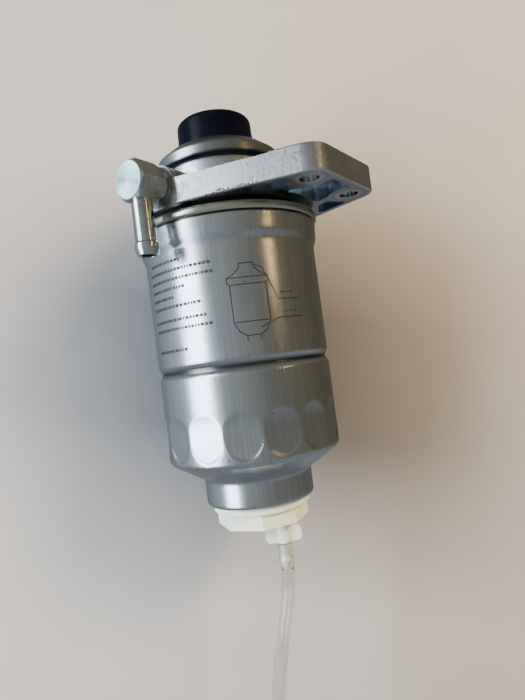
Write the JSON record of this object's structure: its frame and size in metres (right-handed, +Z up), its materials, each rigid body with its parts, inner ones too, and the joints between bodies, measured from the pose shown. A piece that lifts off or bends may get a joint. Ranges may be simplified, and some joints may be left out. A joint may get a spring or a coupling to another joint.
{
  "type": "fuel filter with hand priming pump",
  "caption": "Diesel fuel filter head with push-knob priming pump, hose elbows, bolt-on flange, spin-on can, drain plug with wing cock and clear drain hose",
  "frame": {"origin": "middle between the two mounting bolt holes, on the flange's machined top face", "axes": "+X out of the flange's free end, +Z up along the filter and the pump; the inlet elbow is on the -Y side and the outlet elbow on the +Y side"},
  "size_m": [0.1154, 0.1212, 0.3911],
  "materials": {
    "cast_head": "blasted die casting",
    "cover_zinc": "pressed, zinc plated",
    "elbow_zinc": "turned, zinc plated",
    "washer_aluminium": "plain",
    "can_steel": "drawn, tinned",
    "plain_steel": "plain",
    "spring_steel": "plain",
    "valve_brass": "turned",
    "rubber": "matte",
    "filter_paper": "resin-treated paper",
    "knob_plastic": "moulded, glossy",
    "white_nylon": "moulded, slightly clear",
    "clear_vinyl": "clear, soft"
  },
  "bodies": {
    "housing": {"filter_head": "cast_head", "pump_cover": "cover_zinc", "diaphragm": "rubber", "return_spring": "spring_steel", "inlet_valve_seat": "valve_brass", "inlet_valve_flap": "rubber", "outlet_valve_seat": "valve_brass", "outlet_valve_flap": "rubber", "inlet_elbow": "elbow_zinc", "inlet_pipe": "elbow_zinc", "inlet_washer": "washer_aluminium", "outlet_elbow": "elbow_zinc", "outlet_pipe": "elbow_zinc", "outlet_washer": "washer_aluminium", "centre_stud": "plain_steel", "head_gasket": "rubber", "seam_ring": "can_steel", "top_plate": "plain_steel", "can_shell": "can_steel", "element_grommet": "rubber", "element_top_cap": "plain_steel", "filter_paper": "filter_paper", "centre_tube": "plain_steel", "element_bottom_cap": "plain_steel", "element_support": "spring_steel", "neck_insert": "plain_steel", "drain_plug": "white_nylon", "plug_o_ring": "rubber"},
    "plunger": {"knob": "knob_plastic", "plunger_rod": "plain_steel", "upper_plate": "plain_steel", "lower_plate": "plain_steel"},
    "cock_seal": {"cock_o_ring": "rubber"},
    "cock": {"drain_cock": "white_nylon", "hose_cuff": "clear_vinyl", "drain_hose": "clear_vinyl"}
  },
  "joints": [
    {"name": "knob_press", "type": "slide", "parent": "housing", "child": "plunger", "axis": [0, 0, -1], "range_m": [0, 0.0065], "stiffness_N_per_m": 2500, "springref_m": -0.006, "deforming": ["return_spring", "diaphragm"]},
    {"name": "cock_lift", "type": "slide", "parent": "housing", "child": "cock_seal", "axis": [0, 0, -1], "range_m": [0, 0.00225]},
    {"name": "cock_turn", "type": "hinge", "parent": "cock_seal", "child": "cock", "pos_m": [-0.0498, 0, -0.16], "axis": [0, 0, -1], "range_deg": [0, 540.1]}
  ],
  "couplings": [
    {"joint": "cock_turn", "follows": "cock_lift", "rad_per_m": 4188.8}
  ]
}
